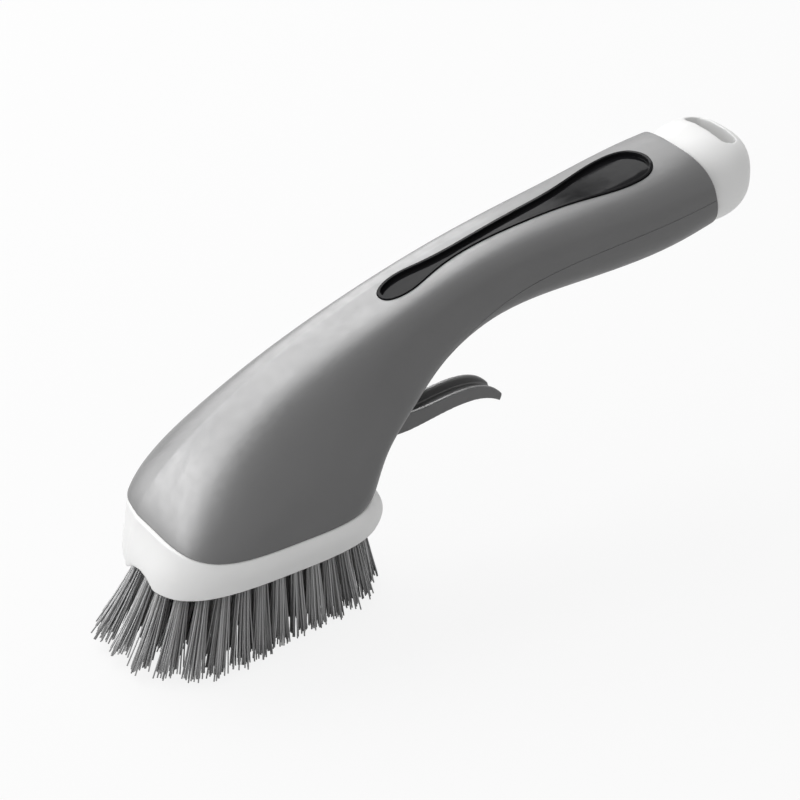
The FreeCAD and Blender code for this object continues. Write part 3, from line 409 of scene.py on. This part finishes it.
def tuft_bundle(bm, template, shade_layer, line, sizes, chance):
    """Filaments of one tuft, packed in its hole and fanned towards the tip."""
    root, tip, root_radius, tip_radius = line
    way = (tip - root).normalized()
    turn = way.to_track_quat("Z", "Y").to_matrix()
    front, side = max(0.0, root.x / HEAD_FRONT), root.y / HEAD_HALF
    lean = turn @ Vector((chance.gauss(0, 1), chance.gauss(0, 1), 0)) * sizes.stray
    lean += Vector((-sizes.splay[0] * front, sizes.splay[1] * side * front, 0))
    trim = tip.z + sizes.trim + sizes.rise * front * front
    tuft_shade = chance.uniform(-TUFT_SHADE, TUFT_SHADE)
    for number in range(sizes.strands):
        share = math.sqrt((number + 0.5) / sizes.strands)
        angle = number * GOLDEN_TURN + chance.uniform(-STRAND_TURN, STRAND_TURN)
        spot = Vector((math.cos(angle), math.sin(angle), 0)) * share
        inner = root_radius - sizes.strand_width / 2
        start = root + turn @ (spot * inner)
        fan = turn @ (spot * (tip_radius * sizes.fan - inner))
        bow = lean + turn @ Vector((chance.gauss(0, 1), chance.gauss(0, 1), 0)) * sizes.stray
        end = max(tip.z, trim + chance.gauss(0, 1) * sizes.ragged)
        reach = way * ((start.z + fan.z + bow.z - end) / -way.z) + fan
        shade = min(1.0, max(0.0, chance.gauss(*STRAND_SHADE) + tuft_shade))
        add_strand(bm, template, shade_layer, start, reach, bow, sizes.strand_width / 2, shade)


# Stage
def aimed(thing, spot, target):
    """Places a lamp or camera at a spot, facing a target."""
    thing.location = spot
    thing.rotation_euler = (target - spot).to_track_quat("-Z", "Y").to_euler()
    bpy.context.scene.collection.objects.link(thing)
    return thing


def soft_lamp(target, name, spot, width, height, power):
    """Rectangular lamp that faces a target."""
    lamp = bpy.data.lights.new(name, "AREA")
    lamp.shape = "RECTANGLE"
    lamp.size = width
    lamp.size_y = height
    lamp.energy = power
    return aimed(bpy.data.objects.new(name, lamp), Vector(spot), target)


def white_surround(strength):
    """World that is white to look at and in gloss, and softer as a light."""
    world = bpy.data.worlds.new("white_surround")
    world.use_nodes = True
    bpy.context.scene.world = world
    tree = world.node_tree
    tree.nodes.clear()
    path = node_at(tree, "ShaderNodeLightPath")
    seen = node_at(tree, "ShaderNodeMath", operation="MAXIMUM")
    tree.links.new(path.outputs["Is Camera Ray"], seen.inputs[0])
    tree.links.new(path.outputs["Is Transmission Ray"], seen.inputs[1])
    mirrored = node_at(tree, "ShaderNodeMath", operation="MAXIMUM")
    tree.links.new(seen.outputs[0], mirrored.inputs[0])
    tree.links.new(path.outputs["Is Glossy Ray"], mirrored.inputs[1])
    level = node_at(tree, "ShaderNodeMapRange")
    level.inputs["To Min"].default_value = strength
    tree.links.new(mirrored.outputs[0], level.inputs["Value"])
    glow = node_at(tree, "ShaderNodeBackground")
    glow.inputs["Color"].default_value = (1, 1, 1, 1)
    tree.links.new(level.outputs["Result"], glow.inputs["Strength"])
    tree.links.new(glow.outputs[0], node_at(tree, "ShaderNodeOutputWorld").inputs["Surface"])


def floor_finish():
    """White floor that still takes a soft shadow."""
    material = bpy.data.materials.new("white_floor")
    material.use_nodes = True
    tree = material.node_tree
    shader = tree.nodes["Principled BSDF"]
    shader.inputs["Base Color"].default_value = (FLOOR_GREY, FLOOR_GREY, FLOOR_GREY, 1)
    shader.inputs["Roughness"].default_value = FLOOR_ROUGH
    path = node_at(tree, "ShaderNodeLightPath")
    share = node_at(tree, "ShaderNodeMath", operation="MULTIPLY")
    share.inputs[1].default_value = FLOOR_GLOW
    tree.links.new(path.outputs["Is Camera Ray"], share.inputs[0])
    glow = node_at(tree, "ShaderNodeEmission")
    mix = node_at(tree, "ShaderNodeMixShader")
    tree.links.new(share.outputs[0], mix.inputs["Fac"])
    tree.links.new(shader.outputs["BSDF"], mix.inputs[1])
    tree.links.new(glow.outputs[0], mix.inputs[2])
    tree.links.new(mix.outputs[0], tree.nodes["Material Output"].inputs["Surface"])
    return material


class WAND_OT_handle(bpy.types.Operator):
    """Satin grey shells and squeeze lever."""

    bl_idname = "wand.handle"
    bl_label = "Handle"

    def execute(self, context):
        colours = context.scene.wand_colours
        material = shell_finish(colours)
        dress(material, "upper_shell", "lower_shell")
        moulded("trigger", material, "trigger", context.scene.wand_sizes.soft_edge)
        return {"FINISHED"}


class WAND_OT_window(bpy.types.Operator):
    """Smoked level window."""

    bl_idname = "wand.window"
    bl_label = "Level window"

    def execute(self, context):
        dress(window_finish(context.scene.wand_colours), "window_lens")
        return {"FINISHED"}


class WAND_OT_whites(bpy.types.Operator):
    """White cap, plug, mouth collar and brush block."""

    bl_idname = "wand.whites"
    bl_label = "White pieces"

    def execute(self, context):
        soft_edge = context.scene.wand_sizes.soft_edge
        material = white_finish(context.scene.wand_colours)
        dress(material, "cap_plug", "filler_collar")
        moulded("end_cap", material, "cap", soft_edge)
        moulded("brush_block", material, "brush_head", soft_edge)
        return {"FINISHED"}


class WAND_OT_soap_works(bpy.types.Operator):
    """Seals, hose, valve and steel pieces of the soap feed."""

    bl_idname = "wand.soap_works"
    bl_label = "Soap feed"

    def execute(self, context):
        colours = context.scene.wand_colours
        dress(finish("seal_rubber", colours.seal, 0.62, tint=0.2, edge=0), *SEALS)
        dress(finish("hose_silicone", colours.hose, 0.35, edge=0, Subsurface_Weight=0.3), "outlet_hose")
        dress(finish("valve_plastic", colours.valve, 0.38), *VALVE_PIECES)
        steel = finish("steel", colours.steel, 0.24, grain=0.1 * MM, edge=0.1 * MM, Metallic=1.0)
        dress(steel, *STEEL_PIECES)
        return_coil(steel)
        return {"FINISHED"}


class WAND_OT_bristles(bpy.types.Operator):
    """Filaments in the place of the three rows of tufts."""

    bl_idname = "wand.bristles"
    bl_label = "Bristles"

    def execute(self, context):
        sizes = context.scene.wand_sizes
        material = bristle_finish(context.scene.wand_colours)
        template = strand_template()
        chance = random.Random(BRISTLE_SEED)
        for row in BRISTLE_ROWS:
            bm = bmesh.new()
            shade_layer = bm.verts.layers.float.new("strand")
            for line in tuft_lines(row):
                tuft_bundle(bm, template, shade_layer, line, sizes, chance)
            piece = new_piece(row.replace("tufts", "bristles"), bm, material, "brush_head")
            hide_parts(row)
        bpy.data.meshes.remove(template)
        return {"FINISHED"}


class WAND_OT_stage(bpy.types.Operator):
    """White floor, soft lamps and the camera."""

    bl_idname = "wand.stage"
    bl_label = "Stage"

    def execute(self, context):
        scene = context.scene
        sizes = scene.wand_sizes
        bm = bmesh.new()
        bmesh.ops.create_grid(bm, size=sizes.floor_width / 2)
        bmesh.ops.translate(bm, verts=bm.verts, vec=(0, 0, CAD_BOX[0][2] - FLOOR_DROP))
        mesh = bpy.data.meshes.new("floor")
        bm.to_mesh(mesh)
        bm.free()
        mesh.materials.append(floor_finish())
        floor = bpy.data.objects.new("floor", mesh)
        scene.collection.objects.link(floor)
        target = Vector(sizes.camera_target)
        white_surround(SURROUND_LIGHT)
        soft_lamp(target, *BACK_LAMP)
        soft_lamp(HEAD_SPOT, *LEFT_LAMP)
        for card in GLOSS_CARDS:
            soft_lamp(HEAD_SPOT, *card).visible_diffuse = False
        azimuth = sizes.camera_azimuth
        elevation = sizes.camera_elevation
        back = Vector((math.sin(azimuth) * math.cos(elevation), -math.cos(azimuth) * math.cos(elevation),
                       math.sin(elevation)))
        lens = bpy.data.cameras.new("camera")
        lens.lens = sizes.camera_lens
        lens.sensor_width = SENSOR_WIDTH
        spot = target + back * sizes.camera_distance
        scene.camera = aimed(bpy.data.objects.new("camera", lens), spot, target)
        scene.view_settings.view_transform = "Standard"
        return {"FINISHED"}


class WAND_PT_sidebar(bpy.types.Panel):
    """The steps, sizes and colours in the sidebar."""

    bl_label = "Dish Wand"
    bl_idname = "WAND_PT_sidebar"
    bl_space_type = "VIEW_3D"
    bl_region_type = "UI"
    bl_category = "Wand"

    def draw(self, context):
        for step in STEPS:
            self.layout.operator(step.bl_idname)
        for group in (context.scene.wand_sizes, context.scene.wand_colours):
            for name in group.__annotations__:
                self.layout.prop(group, name)


STEPS = (WAND_OT_handle, WAND_OT_window, WAND_OT_whites, WAND_OT_soap_works, WAND_OT_bristles,
         WAND_OT_stage)
CLASSES = (WandSizes, WandColours, *STEPS, WAND_PT_sidebar)


def register():
    for item in CLASSES:
        bpy.utils.register_class(item)
    bpy.types.Scene.wand_sizes = bpy.props.PointerProperty(type=WandSizes)
    bpy.types.Scene.wand_colours = bpy.props.PointerProperty(type=WandColours)


def unregister():
    del bpy.types.Scene.wand_colours
    del bpy.types.Scene.wand_sizes
    for item in reversed(CLASSES):
        bpy.utils.unregister_class(item)


def main():
    register()
    for step in (bpy.ops.wand.handle, bpy.ops.wand.window, bpy.ops.wand.whites, bpy.ops.wand.soap_works,
                 bpy.ops.wand.bristles, bpy.ops.wand.stage):
        step()


if __name__ == "__main__":
    main()
